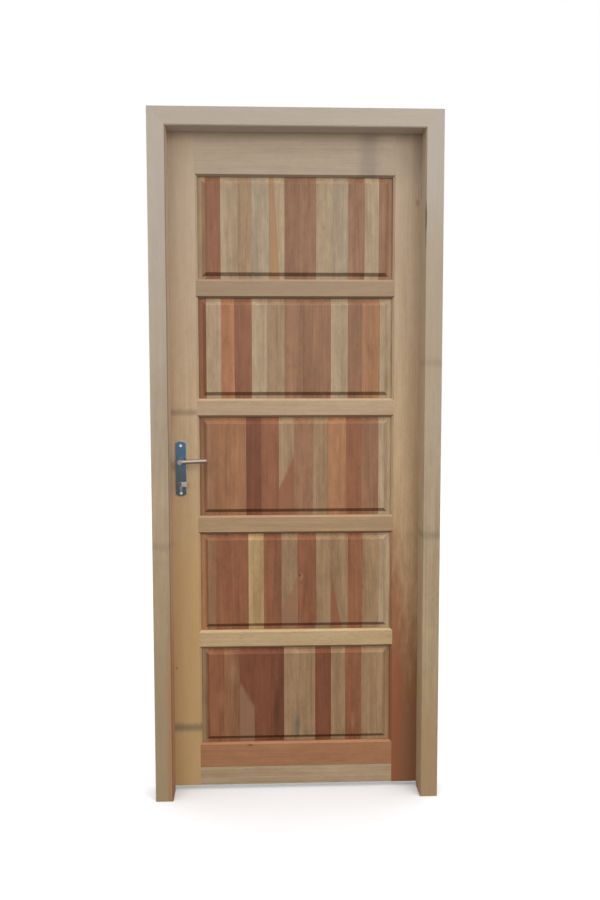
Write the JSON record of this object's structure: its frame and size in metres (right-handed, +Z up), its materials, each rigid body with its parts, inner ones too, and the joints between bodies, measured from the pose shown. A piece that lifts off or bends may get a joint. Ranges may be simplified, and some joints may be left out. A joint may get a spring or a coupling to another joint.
{
  "type": "panelled front door",
  "caption": "Panelled hardwood front door in a mitred rebated frame; the leaf swings on butt hinges, with a lever, a sprung latch and a thumb turn that throws a dead bolt.",
  "frame": {"origin": "on the floor, at mid width, in the plane of the leaf's front face, which is close to the middle of the depth", "axes": "+Z up, +Y back through the door away from the viewer, +X to the viewer's right, towards the hinges"},
  "size_m": [0.9, 0.168, 2.155],
  "materials": {
    "frame_wood": "planed, unfinished",
    "dowel_wood": "turned, unfinished",
    "leaf_wood": "planed, unfinished",
    "red_board": "planed, unfinished",
    "panel_wood": "glued staves, planed",
    "polished_steel": "polished",
    "zinc_steel": "zinc plated",
    "lock_brass": "machined"
  },
  "bodies": {
    "frame": {"left_jamb": "frame_wood", "right_jamb": "frame_wood", "frame_head": "frame_wood", "corner_dowels": "dowel_wood", "strike_plate": "zinc_steel", "strike_screws": "zinc_steel", "lower_hinge_frame_leaf": "zinc_steel", "middle_hinge_frame_leaf": "zinc_steel", "upper_hinge_frame_leaf": "zinc_steel", "lower_hinge_pin": "zinc_steel", "middle_hinge_pin": "zinc_steel", "upper_hinge_pin": "zinc_steel", "hinge_frame_screws": "zinc_steel"},
    "leaf": {"lock_stile": "leaf_wood", "hinge_stile": "leaf_wood", "top_rail": "leaf_wood", "cross_rail_1": "leaf_wood", "cross_rail_2": "leaf_wood", "cross_rail_3": "leaf_wood", "cross_rail_4": "leaf_wood", "bottom_rail_upper": "red_board", "bottom_rail_lower": "leaf_wood", "panel_1": "panel_wood", "panel_2": "panel_wood", "panel_3": "panel_wood", "panel_4": "panel_wood", "panel_5": "panel_wood", "lower_hinge_door_leaf": "zinc_steel", "middle_hinge_door_leaf": "zinc_steel", "upper_hinge_door_leaf": "zinc_steel", "hinge_door_screws": "zinc_steel", "lock_case": "zinc_steel", "lock_cover": "zinc_steel", "forend": "zinc_steel", "forend_screws": "zinc_steel", "front_plate": "polished_steel", "rear_plate": "polished_steel", "front_plate_screws": "polished_steel", "rear_plate_screws": "polished_steel", "cylinder_housing": "lock_brass", "cylinder_screw": "zinc_steel"},
    "lever_set": {"front_lever": "polished_steel", "rear_lever": "polished_steel", "spindle": "zinc_steel", "follower": "lock_brass"},
    "latch": {"latch_bolt": "lock_brass"},
    "bolt": {"dead_bolt": "lock_brass"},
    "turn": {"thumb_turn": "polished_steel", "front_plug": "lock_brass", "rear_plug": "lock_brass", "cam": "zinc_steel"}
  },
  "joints": [
    {"name": "leaf_swing", "type": "hinge", "parent": "frame", "child": "leaf", "pos_m": [0.4065, 0.0415, 0], "axis": [0, 0, -1], "range_deg": [0, 110]},
    {"name": "lever_turn", "type": "hinge", "parent": "leaf", "child": "lever_set", "pos_m": [-0.365, 0.0175, 1.081], "axis": [0, 1, 0], "range_deg": [0, 40], "stiffness_Nm_per_rad": 1.2, "springref_deg": -22.92},
    {"name": "latch_slide", "type": "slide", "parent": "leaf", "child": "latch", "axis": [1, 0, 0], "range_m": [0, 0.012]},
    {"name": "cylinder_turn", "type": "hinge", "parent": "leaf", "child": "turn", "pos_m": [-0.365, 0.0175, 1.009], "axis": [0, 1, 0], "range_deg": [0, 360]},
    {"name": "bolt_slide", "type": "slide", "parent": "leaf", "child": "bolt", "axis": [-1, 0, 0], "range_m": [0, 0.02]}
  ],
  "couplings": [
    {"joint": "latch_slide", "follows": "lever_turn", "m_per_rad": 0.017188},
    {"joint": "cylinder_turn", "follows": "bolt_slide", "rad_per_m": 314.16}
  ]
}
